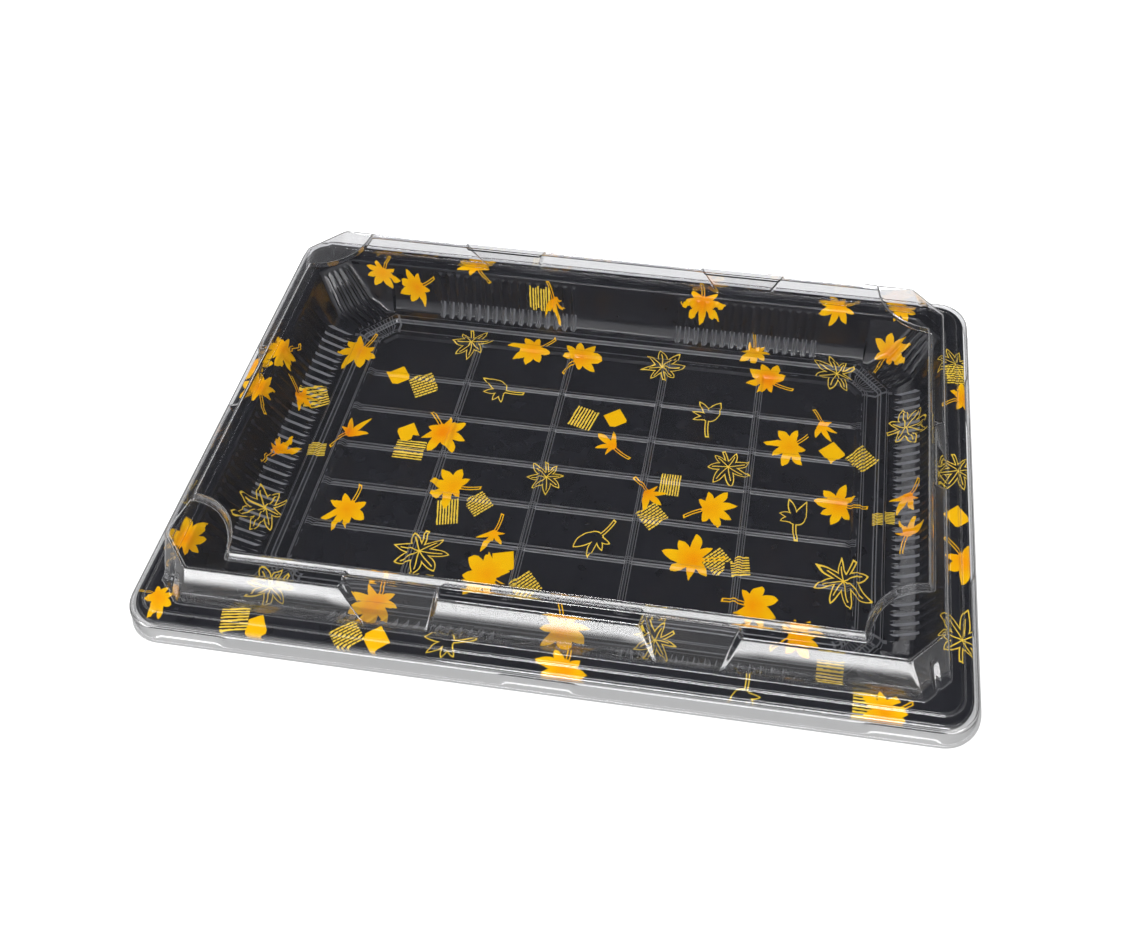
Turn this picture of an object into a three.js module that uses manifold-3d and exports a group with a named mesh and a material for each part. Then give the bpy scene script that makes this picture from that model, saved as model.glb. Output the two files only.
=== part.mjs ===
// Takeaway sushi tray: a black formed plastic tray with a clear clip-on lid, shut and empty.
// Millimetres, +Z up. The origin is the centre of the tray's flat underside, X runs along the long side.
import * as THREE from 'three';
import { mergeVertices } from 'three/addons/utils/BufferGeometryUtils.js';
import Module from 'manifold-3d';

const wasm = await Module();
wasm.setup();

// ---- Driving dimensions ------------------------------------------------------------------

// Sheet the two pieces are formed from.
const TRAY_SHEET = 0.8;
const LID_SHEET = 0.6;

// Tray: the floor's cells, the two raised rings round them, and the heights above the table.
const CELL_LENGTH = 52;
const CELL_WIDTH = 23.7;
const CELL_COLUMNS = 5;
const CELL_ROWS = 6;
const FLOOR_Z = TRAY_SHEET;
const RING_HEIGHT = 1.5;
const COLUMN_BAR_HEIGHT = 1.35;
const ROW_BAR_HEIGHT = 1.2;
const BAR_WIDTH = 4;
const RING_WIDTH = 5.6;
const RIDGE_SLOPE = 1.1;
const INNER_RING = { x: 129.8, y: 73.2, corner: 5 };
const OUTER_RING = { x: 141.4, y: 84.5, corner: 13 };
const LEDGE_FOOT = { x: 153.2, y: 94, corner: 15.5 };
const LEDGE_TOP = { x: 162, y: 98, corner: 16, z: FLOOR_Z + 5 };
const RIM = { x: 169.4, y: 105.4, corner: 12, z: FLOOR_Z + 24.2 };
const FLANGE = { x: 180.9, y: 116.4, corner: 13 };
const BEAD = { reach: 0.9, drop: 5.4 };
const BEAD_FACE = { x: FLANGE.x + BEAD.reach, y: FLANGE.y + BEAD.reach, corner: FLANGE.corner };

// Lid: how far it stays above the tray's flange, then each turn of its surface from the top down.
const LID_GAP = 0.35;
const LID_FLANGE_Z = RIM.z + LID_GAP + LID_SHEET;
const PLATEAU = { x: 156.5, y: 95.5, corner: 25, z: 57.1 };
const PLATEAU_FOOT = { x: 159, y: 96.8, corner: 26, z: 51.6 };
const SHOULDER = { x: 165.3, y: 102, corner: 15.5, z: 50.4 };
const DOME_FOOT = { x: 171.6, y: 108.3, corner: 10.5, z: LID_FLANGE_Z };
const LID_FLANGE = { x: 182.6, y: 118.1, corner: 13, z: LID_FLANGE_Z };
const SKIRT_TOP = { x: 183.5, y: 119, corner: 13.9, z: LID_FLANGE_Z - 0.8 };
const SKIRT_FOOT = { x: 185.6, y: 121.1, corner: 16, z: 14.3 };
const LIP = { x: 187, y: 122.5, corner: 17.4, z: 13.6 };

// Sloping panels in the dome's walls: two on each long side, one in the middle of each short side.
const LONG_PANEL_AT = 62.5;
const LONG_PANEL_HALF = { top: 20, foot: 12.8 };
const SHORT_PANEL_HALF = { top: 17.3, foot: 10.5 };
const PANEL_DEPTH = 4.4;
const PANEL_EDGE = 1.6;

// Lugs inside the lid's skirt that catch under the tray's bead: how far each one reaches past the
// bead's face, its height at the skirt and at its tip, and where it sits.
const LUG_LENGTH = 27;
const LUG_GRIP = 0.3;
const LUG_ROOT_HEIGHT = 3.6;
const LUG_TIP_HEIGHT = 1.8;
const LUG_Z = 16.9;
const LONG_LUGS = [-154, 0, 154];
const SHORT_LUGS = [-58, 58];

// Each side of the object: the turn that brings the X direction round to it, and its kind.
const SIDES = {
  right: { turn: 0, onLongSide: false },
  back: { turn: Math.PI / 2, onLongSide: true },
  left: { turn: Math.PI, onLongSide: false },
  front: { turn: -Math.PI / 2, onLongSide: true },
};

// Corner styles: -1 is scooped inwards, 0 is cut straight across, 1 is rounded.
const SCOOPED = -1;
const STRAIGHT = 0;
const ROUNDED = 1;
const CORNER_STEPS = 6;

// Points closer than this are one point, and no corner of a sheet is drawn out further than this
// many times its thickness.
const MERGE_DISTANCE = 1e-4;
const LONGEST_MITRE = 2;

// ---- Shapes ------------------------------------------------------------------------------

// The corner of a level in the quarter where X and Y are positive, from the X side to the Y side.
function cornerPoints(level) {
  const { x, y, corner, style } = level;
  const points = [];
  for (let step = 0; step <= CORNER_STEPS; step += 1) {
    const share = step / CORNER_STEPS;
    const angle = (share * Math.PI) / 2;
    const straight = [x - corner * share, y - corner * (1 - share)];
    const rounded = [x - corner * (1 - Math.cos(angle)), y - corner * (1 - Math.sin(angle))];
    const scooped = [x - corner * Math.sin(angle), y - corner * Math.cos(angle)];
    points.push(style === ROUNDED ? rounded : style === SCOOPED ? scooped : straight);
  }
  return points;
}

// The closed outline of a level, counterclockwise from above. A level with panels has the
// points of the short side's panel and of the long side's panel too.
function outline(level) {
  const quarter = cornerPoints(level);
  if (level.panels) {
    const { depth, share } = level.panels;
    const half = (size) => size.foot + (size.top - size.foot) * share;
    const short = half(SHORT_PANEL_HALF);
    const long = half(LONG_PANEL_HALF);
    quarter.unshift([level.x - depth, short - PANEL_EDGE], [level.x, short]);
    quarter.push(
      [LONG_PANEL_AT + long, level.y],
      [LONG_PANEL_AT + long - PANEL_EDGE, level.y - depth],
      [LONG_PANEL_AT - long + PANEL_EDGE, level.y - depth],
      [LONG_PANEL_AT - long, level.y],
    );
  }
  const back = [...quarter].reverse().map(([x, y]) => [-x, y]);
  const right = [...quarter, ...back];
  const points = [...right, ...right.map(([x, y]) => [-x, -y])];
  return points.map(([x, y]) => new THREE.Vector3(x, y, level.z));
}

// The other face of a sheet: each level moved at right angles to the profile, by the sheet's thickness.
function underside(levels, thickness) {
  const turns = levels.map((level) => new THREE.Vector2((level.x + level.y) / 2, level.z));
  const normals = turns.slice(1).map((turn, index) => {
    const along = turn.clone().sub(turns[index]).normalize();
    return new THREE.Vector2(along.y, -along.x);
  });
  return levels.map((level, index) => {
    const before = normals[Math.max(index - 1, 0)];
    const after = normals[Math.min(index, normals.length - 1)];
    const middle = before.clone().add(after).normalize();
    const reach = thickness * Math.min(1 / middle.dot(after), LONGEST_MITRE);
    const shift = middle.multiplyScalar(reach);
    return { ...level, x: level.x + shift.x, y: level.y + shift.x, z: level.z + shift.y };
  });
}

// A closed solid through a list of outlines, with flat ends on the first and the last one.
// The first end faces up and the last one faces down.
function loft(rings) {
  const triangles = [];
  const closeEnd = (ring, up) => {
    const flat = ring.map((point) => new THREE.Vector2(point.x, point.y));
    for (const [a, b, c] of THREE.ShapeUtils.triangulateShape(flat, [])) {
      triangles.push(ring[a], up ? ring[b] : ring[c], up ? ring[c] : ring[b]);
    }
  };
  closeEnd(rings[0], true);
  for (let index = 1; index < rings.length; index += 1) {
    const inner = rings[index - 1];
    const outer = rings[index];
    inner.forEach((point, at) => {
      const next = (at + 1) % inner.length;
      triangles.push(point, outer[at], outer[next]);
      triangles.push(point, outer[next], inner[next]);
    });
  }
  closeEnd(rings.at(-1), false);
  return new THREE.BufferGeometry().setFromPoints(triangles);
}

function solidOf(geometry) {
  const bare = geometry.clone();
  bare.deleteAttribute('normal');
  bare.deleteAttribute('uv');
  const merged = mergeVertices(bare, MERGE_DISTANCE);
  return new wasm.Manifold(
    new wasm.Mesh({
      numProp: 3,
      vertProperties: merged.attributes.position.array,
      triVerts: new Uint32Array(merged.index.array),
    }),
  );
}

function geometryOf(solid) {
  const { numProp, vertProperties, triVerts } = solid.getMesh();
  const buffer = new THREE.InterleavedBuffer(vertProperties, numProp);
  const positions = new Float32Array(triVerts.length * 3);
  const corner = new THREE.Vector3();
  const source = new THREE.InterleavedBufferAttribute(buffer, 3, 0);
  triVerts.forEach((vertex, index) => {
    corner.fromBufferAttribute(source, vertex).toArray(positions, index * 3);
  });
  const geometry = new THREE.BufferGeometry();
  geometry.setAttribute('position', new THREE.BufferAttribute(positions, 3));
  geometry.computeVertexNormals();
  return geometry;
}

function joined(base, additions) {
  return geometryOf(additions.reduce((sum, addition) => sum.add(solidOf(addition)), solidOf(base)));
}

// A bar with sloping sides that lies on the floor along X, centred on the origin.
function floorBar(length, height) {
  const section = new THREE.Shape([
    new THREE.Vector2(-BAR_WIDTH / 2, -TRAY_SHEET / 2),
    new THREE.Vector2(BAR_WIDTH / 2, -TRAY_SHEET / 2),
    new THREE.Vector2(BAR_WIDTH / 2, 0),
    new THREE.Vector2(BAR_WIDTH / 2 - RIDGE_SLOPE, height),
    new THREE.Vector2(-BAR_WIDTH / 2 + RIDGE_SLOPE, height),
    new THREE.Vector2(-BAR_WIDTH / 2, 0),
  ]);
  const bar = new THREE.ExtrudeGeometry(section, { depth: length, bevelEnabled: false });
  bar.translate(0, 0, -length / 2);
  bar.rotateX(Math.PI / 2);
  bar.rotateZ(Math.PI / 2);
  bar.translate(0, 0, FLOOR_Z);
  return bar;
}

// The bars that divide the floor into cells. Their ends run into the inner ring.
function floorBars() {
  const bars = [];
  for (let row = 1; row < CELL_ROWS; row += 1) {
    const bar = floorBar(2 * (INNER_RING.x + RING_WIDTH / 2), ROW_BAR_HEIGHT);
    bars.push(bar.translate(0, (row - CELL_ROWS / 2) * CELL_WIDTH, 0));
  }
  for (let column = 1; column < CELL_COLUMNS; column += 1) {
    const bar = floorBar(2 * (INNER_RING.y + RING_WIDTH / 2), COLUMN_BAR_HEIGHT);
    bar.rotateZ(Math.PI / 2);
    bars.push(bar.translate((column - CELL_COLUMNS / 2) * CELL_LENGTH, 0, 0));
  }
  return bars;
}

// The four turns of a raised ring, from its inner foot to its outer foot.
function ringLevels(ring) {
  const steps = [
    [0, 0],
    [RIDGE_SLOPE, RING_HEIGHT],
    [RING_WIDTH - RIDGE_SLOPE, RING_HEIGHT],
    [RING_WIDTH, 0],
  ];
  return steps.map(([out, up]) => ({
    x: ring.x + out,
    y: ring.y + out,
    corner: ring.corner + out / 2,
    style: STRAIGHT,
    z: FLOOR_Z + up,
  }));
}

function trayGeometry() {
  const wall = [
    { ...LEDGE_FOOT, z: FLOOR_Z, style: STRAIGHT },
    { ...LEDGE_TOP, style: STRAIGHT },
    { ...RIM, style: STRAIGHT },
    { ...FLANGE, z: RIM.z, style: ROUNDED },
    { ...BEAD_FACE, z: RIM.z - BEAD.reach, style: ROUNDED },
    { ...BEAD_FACE, z: RIM.z - BEAD.drop, style: ROUNDED },
  ];
  const top = [...ringLevels(INNER_RING), ...ringLevels(OUTER_RING), ...wall];
  const below = underside(wall, TRAY_SHEET);
  below[0].z = 0;
  const rings = [...top, ...below.reverse()].map(outline);
  return joined(loft(rings), floorBars());
}

// The middle of the skirt's sheet at a height, given where its outer face is at the skirt's foot.
function skirtMiddle(footReach, z) {
  const slope = (SKIRT_FOOT.y - SKIRT_TOP.y) / (SKIRT_TOP.z - SKIRT_FOOT.z);
  return footReach - slope * (z - SKIRT_FOOT.z) - LID_SHEET / 2;
}

// A lug on the inner face of the skirt, on the given side and this far along it.
function lug(side, along) {
  const { turn, onLongSide } = SIDES[side];
  const tip = (onLongSide ? BEAD_FACE.y : BEAD_FACE.x) - LUG_GRIP;
  const footReach = onLongSide ? SKIRT_FOOT.y : SKIRT_FOOT.x;
  const low = LUG_Z - LUG_ROOT_HEIGHT / 2;
  const high = LUG_Z + LUG_ROOT_HEIGHT / 2;
  const section = new THREE.Shape([
    new THREE.Vector2(tip, LUG_Z - LUG_TIP_HEIGHT / 2),
    new THREE.Vector2(skirtMiddle(footReach, low), low),
    new THREE.Vector2(skirtMiddle(footReach, high), high),
    new THREE.Vector2(tip, LUG_Z + LUG_TIP_HEIGHT / 2),
  ]);
  const block = new THREE.ExtrudeGeometry(section, { depth: LUG_LENGTH, bevelEnabled: false });
  block.translate(0, 0, -LUG_LENGTH / 2);
  block.rotateX(Math.PI / 2);
  block.rotateZ(turn);
  return block.translate(onLongSide ? along : 0, onLongSide ? 0 : along, 0);
}

function lidGeometry() {
  const above = { depth: 0, share: 1 };
  const cut = { depth: PANEL_DEPTH, share: 1 };
  const below = { depth: 0, share: 0 };
  const levels = [
    { ...PLATEAU, style: SCOOPED, panels: above },
    { ...PLATEAU_FOOT, style: SCOOPED, panels: above },
    { ...SHOULDER, style: STRAIGHT, panels: cut },
    { ...DOME_FOOT, style: STRAIGHT, panels: below },
    { ...LID_FLANGE, style: ROUNDED, panels: below },
    { ...SKIRT_TOP, style: ROUNDED, panels: below },
    { ...SKIRT_FOOT, style: ROUNDED, panels: below },
    { ...LIP, style: ROUNDED, panels: below },
  ];
  const rings = [...levels, ...underside(levels, LID_SHEET).reverse()].map(outline);
  const lugs = [
    ...LONG_LUGS.flatMap((along) => [lug('front', along), lug('back', along)]),
    ...SHORT_LUGS.flatMap((along) => [lug('left', along), lug('right', along)]),
  ];
  return joined(loft(rings), lugs);
}

// ---- Pieces ------------------------------------------------------------------------------

const trayMaterial = new THREE.MeshStandardMaterial({ color: 0x0c0c0e, roughness: 0.22, metalness: 0 });
const lidMaterial = new THREE.MeshStandardMaterial({
  color: 0xf2f4f5,
  roughness: 0.05,
  metalness: 0,
  transparent: true,
  opacity: 0.2,
});

const tray = new THREE.Mesh(trayGeometry(), trayMaterial);
tray.name = 'tray';

const lid = new THREE.Mesh(lidGeometry(), lidMaterial);
lid.name = 'lid';

const sushiTray = new THREE.Group();
sushiTray.add(tray, lid);

export default sushiTray;
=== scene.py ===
"""Looks of a takeaway sushi tray: a glossy black printed tray under a clear clip-on lid, shut and empty."""
import math

import bpy
import numpy as np
from mathutils import Matrix, Vector


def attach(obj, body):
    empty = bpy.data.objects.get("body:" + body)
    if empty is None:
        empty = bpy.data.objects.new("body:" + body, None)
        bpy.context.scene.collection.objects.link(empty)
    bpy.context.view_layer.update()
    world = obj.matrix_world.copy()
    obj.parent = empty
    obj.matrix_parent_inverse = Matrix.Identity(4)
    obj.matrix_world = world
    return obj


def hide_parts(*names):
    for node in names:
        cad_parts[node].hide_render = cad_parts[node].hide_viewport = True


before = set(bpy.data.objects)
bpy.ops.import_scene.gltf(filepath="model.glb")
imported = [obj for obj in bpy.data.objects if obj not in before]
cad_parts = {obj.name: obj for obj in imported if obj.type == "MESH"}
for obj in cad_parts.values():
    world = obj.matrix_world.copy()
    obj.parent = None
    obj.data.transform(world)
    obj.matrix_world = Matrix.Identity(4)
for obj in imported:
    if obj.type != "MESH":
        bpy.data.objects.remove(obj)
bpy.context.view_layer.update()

MM = 0.001

# ---- Sizes, in millimetres in the row frame ----

# The tray's sheet is thinner in its walls, which start at SHEET_TURN.
TRAY_SHEET, WALL_SHEET_SHARE = 0.8, 0.6
SHEET_TURN = (150.5, 92.0)
LID_SHEET = 0.5

# The floor, with its bars along X (rows) and along Y (columns). A bar's profile is its height, as a
# share of the full height, at some distances from its middle.
FLOOR_Z = 0.8
CELL_X, CELL_Y = 52.0, 23.7
BAR_X = tuple(CELL_X * step for step in (-1.5, -0.5, 0.5, 1.5))
BAR_Y = tuple(CELL_Y * step for step in (-2, -1, 0, 1, 2))
COLUMN_BAR_HEIGHT, ROW_BAR_HEIGHT = 1.35, 1.2
BAR_PROFILE = ((0.0, 0.45, 0.9, 1.5, 1.95, 9.0), (1.0, 1.0, 0.82, 0.18, 0.0, 0.0))
BAR_LINES = tuple(side * edge for side in (-1, 1) for edge in BAR_PROFILE[0][1:5])
ROW_BAR_END, ROW_BAR_END_RUN = 2.6, 2.0

# The two raised rings round the floor: half length, half width and corner cut of each inner foot.
RING_HEIGHT, RING_SLOPE, RING_WIDTH = 1.5, 1.2, 5.6
INNER_RING = (129.8, 73.2, 5.0)
OUTER_RING = (141.4, 84.5, 13.0)

# The floor's grid of faces ends on top of the inner ring, and is finer near its edge.
GRID_EDGE = (132.6, 76.0)
GRID_CUT = 6.6
GRID_FINE, GRID_FINE_LINES, GRID_COARSE = 0.55, 18, 4.4
GRID_CORNER = (118.0, 62.0)

# Ribs on the walls: between two places on each half of a long side, up to one place on each half
# of a short side, and round each corner.
RIB_PITCH = 5.0
LONG_RIBS = (27.0, 107.0)
SHORT_RIBS = 70.0
CORNER_RIBS = 5
RIB_SHARES = (0.2, 0.35, 0.65, 0.8)

# The wall: the ledge that the ribs' feet stand on, where the wall turns under the rim, and the rim
# itself. Its slope is how far it leans out for each millimetre of height.
LEDGE_Z = FLOOR_Z + 5.0
UNDERCUT_Z = FLOOR_Z + 21.6
RIM_X, RIM_Y, RIM_Z = 169.4, 105.4, FLOOR_Z + 24.2
WALL_SLOPE = 7.4 / 19.2

STRAIGHT, ROUNDED, SCOOPED = "straight", "rounded", "scooped"


def smoothstep(low, high, value):
    share = np.clip((value - low) / (high - low), 0.0, 1.0)
    return share * share * (3.0 - 2.0 * share)


# ---- Outlines ----

# A corner's path: how far it leads in and out, the spacing of its points, the number of steps in
# its bend, and the least length left plain before it.
PATH_LEAD = 30.0
PATH_GRAIN = 0.2
CORNER_STEPS = 60
CORNER_CLEARANCE = 2.5


def smoothed(values, half):
    """Running mean over 2 * half + 1 values, twice."""
    kernel = np.ones(2 * half + 1) / (2 * half + 1)
    for _ in range(2):
        values = np.convolve(np.pad(values, half, mode="reflect", reflect_type="odd"), kernel, "valid")
    return values


def corner_path(hx, hy, cut, style, start_x, start_y, soft):
    """A dense line from the long side round the corner to the short side, and the lengths where
    its corner starts and ends. Its turns are softened over the length given."""
    steps = np.linspace(0.0, 1.0, CORNER_STEPS)
    angle = steps * math.pi / 2
    bend_x, bend_y = {
        STRAIGHT: (1 - steps, steps),
        ROUNDED: (1 - np.sin(angle), 1 - np.cos(angle)),
        SCOOPED: (np.cos(angle), np.sin(angle)),
    }[style]
    xs = np.concatenate([[start_x - PATH_LEAD], hx - cut * bend_x, [hx]])
    ys = np.concatenate([[hy], hy - cut * bend_y, [start_y - PATH_LEAD]])
    run = np.concatenate([[0.0], np.cumsum(np.hypot(np.diff(xs), np.diff(ys)))])
    along = np.arange(0.0, run[-1], PATH_GRAIN)
    half = int(soft / PATH_GRAIN / 2)
    path_x = smoothed(np.interp(along, run, xs), half)
    path_y = smoothed(np.interp(along, run, ys), half)
    return along, path_x, path_y, run[1], run[-2]


class Layout:
    """How the points of every level of a loft are spread along a quarter of its outline. lead and
    facet are shares of the way up to a corner and across it, turn is places round its two turns."""

    def __init__(self, long_side, short_side, lead, facet, turn):
        self.long_side = np.array(long_side)
        self.short_side = np.array(short_side)
        self.lead = np.array(lead)
        self.facet = np.array(facet)
        self.turn = np.array(turn)
        self.long_end = self.long_side[-1]
        self.short_end = self.short_side[0]

    def quarter(self, hx, hy, cut, style, soft, long_x=None, short_y=None):
        """The (x, y) points of one level in the quarter where both are positive. Rounded corners
        have their points evenly spread. long_x and short_y replace the places along the sides."""
        start_x = min(self.long_end, hx - cut - CORNER_CLEARANCE)
        start_y = min(self.short_end, hy - cut - CORNER_CLEARANCE)
        along, path_x, path_y, first, last = corner_path(hx, hy, cut, style, start_x, start_y, soft)
        begin, end = PATH_LEAD, along[-1] - PATH_LEAD
        turn_end = self.turn[-1]
        if style == ROUNDED:
            count = 2 * len(self.lead) + 2 * len(self.turn) + len(self.facet)
            spots = np.linspace(begin, end, count + 2)[1:-1]
        else:
            spots = np.concatenate([
                begin + (first - turn_end - begin) * self.lead,
                first + self.turn,
                first + turn_end + (last - first - 2 * turn_end) * self.facet,
                last - self.turn[::-1],
                end - (end - last - turn_end) * self.lead[::-1],
            ])
        if long_x is None:
            long_x = self.long_side * (start_x / self.long_end)
            short_y = self.short_side * (start_y / self.short_end)
        xs = np.concatenate([long_x, np.interp(spots, along, path_x), np.full(len(short_y), hx)])
        ys = np.concatenate([np.full(len(long_x), hy), np.interp(spots, along, path_y), short_y])
        return np.stack([xs, ys], axis=1)

    def values(self, long_values, bend, facet_values, short_values):
        """One number for each point of a quarter. bend is the number for its leads and turns."""
        beside_facet = np.full(len(self.lead) + len(self.turn), bend)
        return np.concatenate([long_values, beside_facet, facet_values, beside_facet, short_values])


def whole(quarter):
    """A closed ring from a quarter that starts on the Y axis and ends on the X axis."""
    right_front = quarter[::-1][1:] * (1, -1)
    half = np.concatenate([quarter, right_front])
    left = half[::-1][1:-1] * (-1, 1)
    return np.concatenate([half, left])


def whole_values(quarter):
    half = np.concatenate([quarter, quarter[::-1][1:]])
    return np.concatenate([half, half[::-1][1:-1]])


def rounded_profile(points, radii, steps=3):
    """Turns a profile's corners into short curves. Points are (x, y, cut, z) of each level. A
    curve takes less than half of the line beside it."""
    points = [np.array(point, float) for point in points]
    profile = []
    for index, (point, radius) in enumerate(zip(points, radii)):
        if radius <= 0:
            profile.append(point)
            continue
        ends = []
        for step in (points[index - 1] - point, points[index + 1] - point):
            length = np.linalg.norm([step[1], step[3]])
            ends.append(point + step * min(radius / max(length, 1e-6), 0.48))
        for share in np.linspace(0.0, 1.0, steps):
            curve = (1 - share) ** 2 * ends[0] + 2 * share * (1 - share) * point + share**2 * ends[1]
            profile.append(curve)
    return profile


# ---- Meshes ----


def link(name, data):
    obj = bpy.data.objects.new(name, data)
    bpy.context.scene.collection.objects.link(obj)
    return obj


def mesh_object(name, points, faces, sharp_angle):
    """A smooth-shaded object from points in millimetres, with sharp edges past the angle."""
    mesh = bpy.data.meshes.new(name)
    mesh.from_pydata((np.asarray(points) * MM).tolist(), [], faces)
    mesh.validate()
    mesh.polygons.foreach_set("use_smooth", [True] * len(mesh.polygons))
    mesh.set_sharp_from_angle(angle=math.radians(sharp_angle))
    mesh.update()
    return link(name, mesh)


def loft_faces(first, count, rings):
    """Quads between rings of count points each, the first of them at index first, going clockwise."""
    faces = []
    for ring in range(rings - 1):
        low = first + ring * count
        high = low + count
        for i in range(count):
            j = (i + 1) % count
            faces.append((low + i, low + j, high + j, high + i))
    return faces


def zip_loops(points, inner, outer):
    """Triangles between two closed loops of point indices that both go clockwise from the Y axis."""

    def turned(loop):
        angle = np.array([math.atan2(points[i][0], points[i][1]) % (2 * math.pi) for i in loop])
        start = int(np.argmin(angle))
        order = [loop[(start + k) % len(loop)] for k in range(len(loop))]
        angle = np.roll(angle, -start)
        return order + [order[0]], np.append(angle, angle[0] + 2 * math.pi)

    inside, angle_in = turned(inner)
    outside, angle_out = turned(outer)
    faces = []
    i = j = 0
    while i < len(inside) - 1 or j < len(outside) - 1:
        step_in = j == len(outside) - 1 or (i < len(inside) - 1 and angle_in[i + 1] < angle_out[j + 1])
        if step_in:
            faces.append((inside[i], inside[i + 1], outside[j]))
            i += 1
        else:
            faces.append((inside[i], outside[j + 1], outside[j]))
            j += 1
    return faces


# ---- Tray: the floor's grid ----


def grid_lines(bars, edge):
    """Where the grid's lines lie along one axis: at the bars' edges, close together near the
    floor's edge, and spread over the cells."""
    lines = {round(bar + line, 4) for bar in bars for line in BAR_LINES}
    for k in range(GRID_FINE_LINES + 1):
        fine = edge - GRID_FINE * k
        lines |= {round(-fine, 4), round(fine, 4)}
    ordered = sorted(lines)
    for a, b in zip(ordered[:-1], ordered[1:]):
        parts = max(1, math.ceil((b - a) / GRID_COARSE))
        lines |= {round(a + (b - a) * k / parts, 4) for k in range(1, parts)}
    return np.array(sorted(lines))


def floor_height(x, y):
    """Height of the bars and of the inner ring's inner slope above the floor."""
    ax, ay = np.abs(x), np.abs(y)
    hx, hy, cut = INNER_RING
    outside = np.maximum(np.maximum(ax - hx, ay - hy), (ax + ay - (hx + hy - cut)) / math.sqrt(2))
    height = RING_HEIGHT * smoothstep(0.0, RING_SLOPE, outside)
    end = np.clip(1.0 - np.maximum(ax - (hx - ROW_BAR_END), 0.0) / ROW_BAR_END_RUN, 0.0, 1.0)
    for bar in BAR_Y:
        ridge = ROW_BAR_HEIGHT * np.interp(np.abs(y - bar), *BAR_PROFILE)
        height = np.maximum(height, ridge * np.sqrt(end))
    for bar in BAR_X:
        ridge = COLUMN_BAR_HEIGHT * np.interp(np.abs(x - bar), *BAR_PROFILE)
        height = np.maximum(height, ridge)
    return height


def cell_faces(kept, x, y):
    """The faces of one cell of the grid, of which 3 or 4 corners are kept. Near the floor's cut
    corners a cell is two triangles, with its diagonal along the cut."""
    if len(kept) < 3:
        return []
    if len(kept) == 3 or abs(x) <= GRID_CORNER[0] or abs(y) <= GRID_CORNER[1]:
        return [tuple(kept)]
    a, b, c, d = kept
    return [(a, b, d), (b, c, d)] if x * y > 0 else [(a, b, c), (a, c, d)]


def outer_loop(faces):
    """The indices of the points round the faces' open edge, clockwise from above."""
    edges = {edge: True for face in faces for edge in zip(face, face[1:] + face[:1])}
    follow = {b: a for a, b in edges if (b, a) not in edges}
    start = next(iter(follow))
    loop = [start]
    while follow[loop[-1]] != start:
        loop.append(follow[loop[-1]])
    return loop


def floor_grid():
    """Points, faces and outer loop of the floor inside the inner ring."""
    xs, ys = grid_lines(BAR_X, GRID_EDGE[0]), grid_lines(BAR_Y, GRID_EDGE[1])
    limit = GRID_EDGE[0] + GRID_EDGE[1] - GRID_CUT + 1e-3
    gx, gy = np.meshgrid(xs, ys, indexing="ij")
    inside = np.abs(gx) + np.abs(gy) <= limit
    index = -np.ones(gx.shape, int)
    index[inside] = np.arange(inside.sum())
    z = FLOOR_Z + floor_height(gx, gy)
    points = np.stack([gx[inside], gy[inside], z[inside]], axis=1)
    faces = []
    for i in range(len(xs) - 1):
        for j in range(len(ys) - 1):
            corners = (index[i, j], index[i + 1, j], index[i + 1, j + 1], index[i, j + 1])
            faces += cell_faces([int(k) for k in corners if k >= 0], xs[i], ys[j])
    return points, faces, outer_loop(faces)


# ---- Tray: rings, ledge, ribs, wall and flange ----


def rib_spots(start, end, count):
    """Four lines for every rib, with 0 where it leaves the valley and 1 at its top's two edges."""
    pitch = (end - start) / count
    spots = [start + (rib + share) * pitch for rib in range(count) for share in RIB_SHARES]
    return spots, [0.0, 1.0, 1.0, 0.0] * count


def tray_layout():
    """The layout of the tray's levels, and for each point of a level how far it is on a rib and
    how far it is in a corner, from 0 to 1."""
    ribs_x, weight_x = rib_spots(*LONG_RIBS, round((LONG_RIBS[1] - LONG_RIBS[0]) / RIB_PITCH))
    ribs_y, weight_y = rib_spots(0.0, SHORT_RIBS, round(SHORT_RIBS / RIB_PITCH))
    facet, facet_ribs = rib_spots(0.0, 1.0, CORNER_RIBS)
    plain = [0.0, 4.5, 9.0, 13.5, 18.0, 22.5]
    beyond = [109.5, 114.0, 118.5, 123.0, 127.5, 132.3]
    long_side = plain + ribs_x + beyond
    long_ribs = [0.0] * len(plain) + weight_x + [0.0] * len(beyond)
    short_side = [SHORT_RIBS + 1.5] + ribs_y[::-1] + [0.0]
    short_ribs = [0.0] + weight_y[::-1] + [0.0]
    layout = Layout(long_side, short_side, [0.08, 0.4, 0.7, 0.92], facet, [-1.2, -0.4, 0.4, 1.2])
    ribs = layout.values(long_ribs, 0.0, facet_ribs, short_ribs)
    corner = layout.values(np.zeros(len(long_side)), 1.0, np.ones(len(facet)), np.zeros(len(short_side)))
    return layout, whole_values(ribs), whole_values(corner)


def ring_profile(ring):
    """A raised ring's four turns, from its inner foot to its outer foot."""
    hx, hy, cut = ring
    plateau_end = RING_WIDTH - RING_SLOPE
    turns = ((0.0, 0.0), (RING_SLOPE, RING_HEIGHT), (plateau_end, RING_HEIGHT), (RING_WIDTH, 0.0))
    return [(hx + out, hy + out, cut + out / 2, FLOOR_Z + up) for out, up in turns]


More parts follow.
